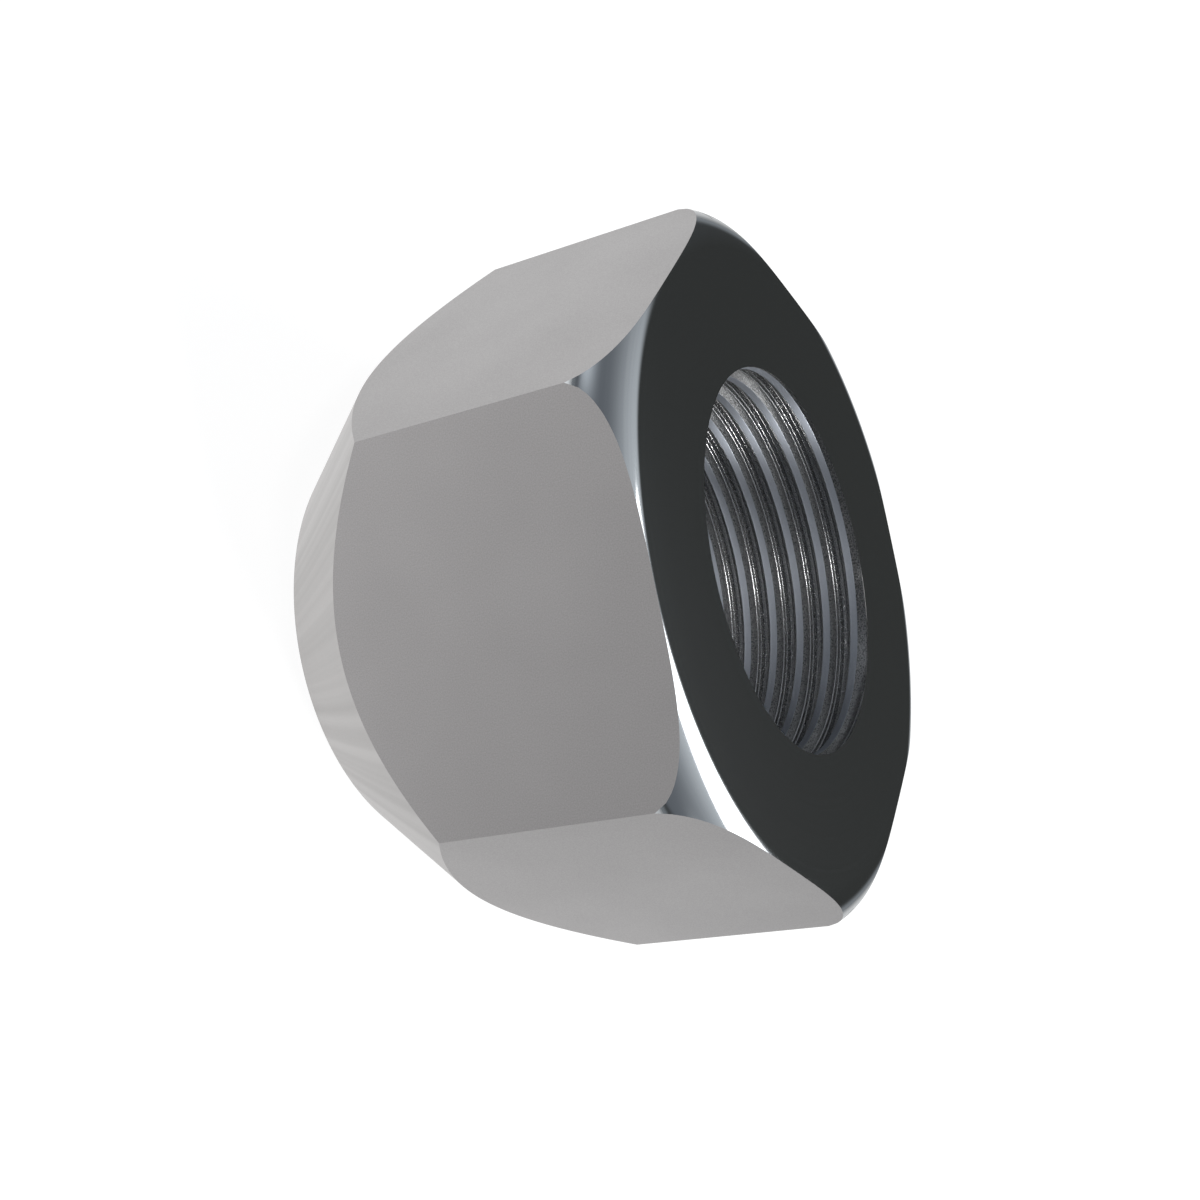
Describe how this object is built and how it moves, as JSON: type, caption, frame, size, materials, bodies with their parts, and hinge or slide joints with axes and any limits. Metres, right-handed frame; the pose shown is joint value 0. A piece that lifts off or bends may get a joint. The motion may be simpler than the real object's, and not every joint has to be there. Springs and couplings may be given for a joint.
{
  "type": "conical nut",
  "caption": "Hexagon nut with a threaded flat face at one end and a conical seat at the other, which centres it in a countersunk hole.",
  "frame": {"origin": "on the thread axis, in the plane of the small end of the cone, on which the nut stands", "axes": "+Z along the thread axis from the small end to the flat threaded face, +X square to one pair of flats, +Y through one pair of corners"},
  "size_m": [0.03, 0.0346, 0.0209],
  "materials": {
    "steel": "satin"
  },
  "bodies": {
    "root": {"conical_nut": "steel"}
  },
  "joints": []
}
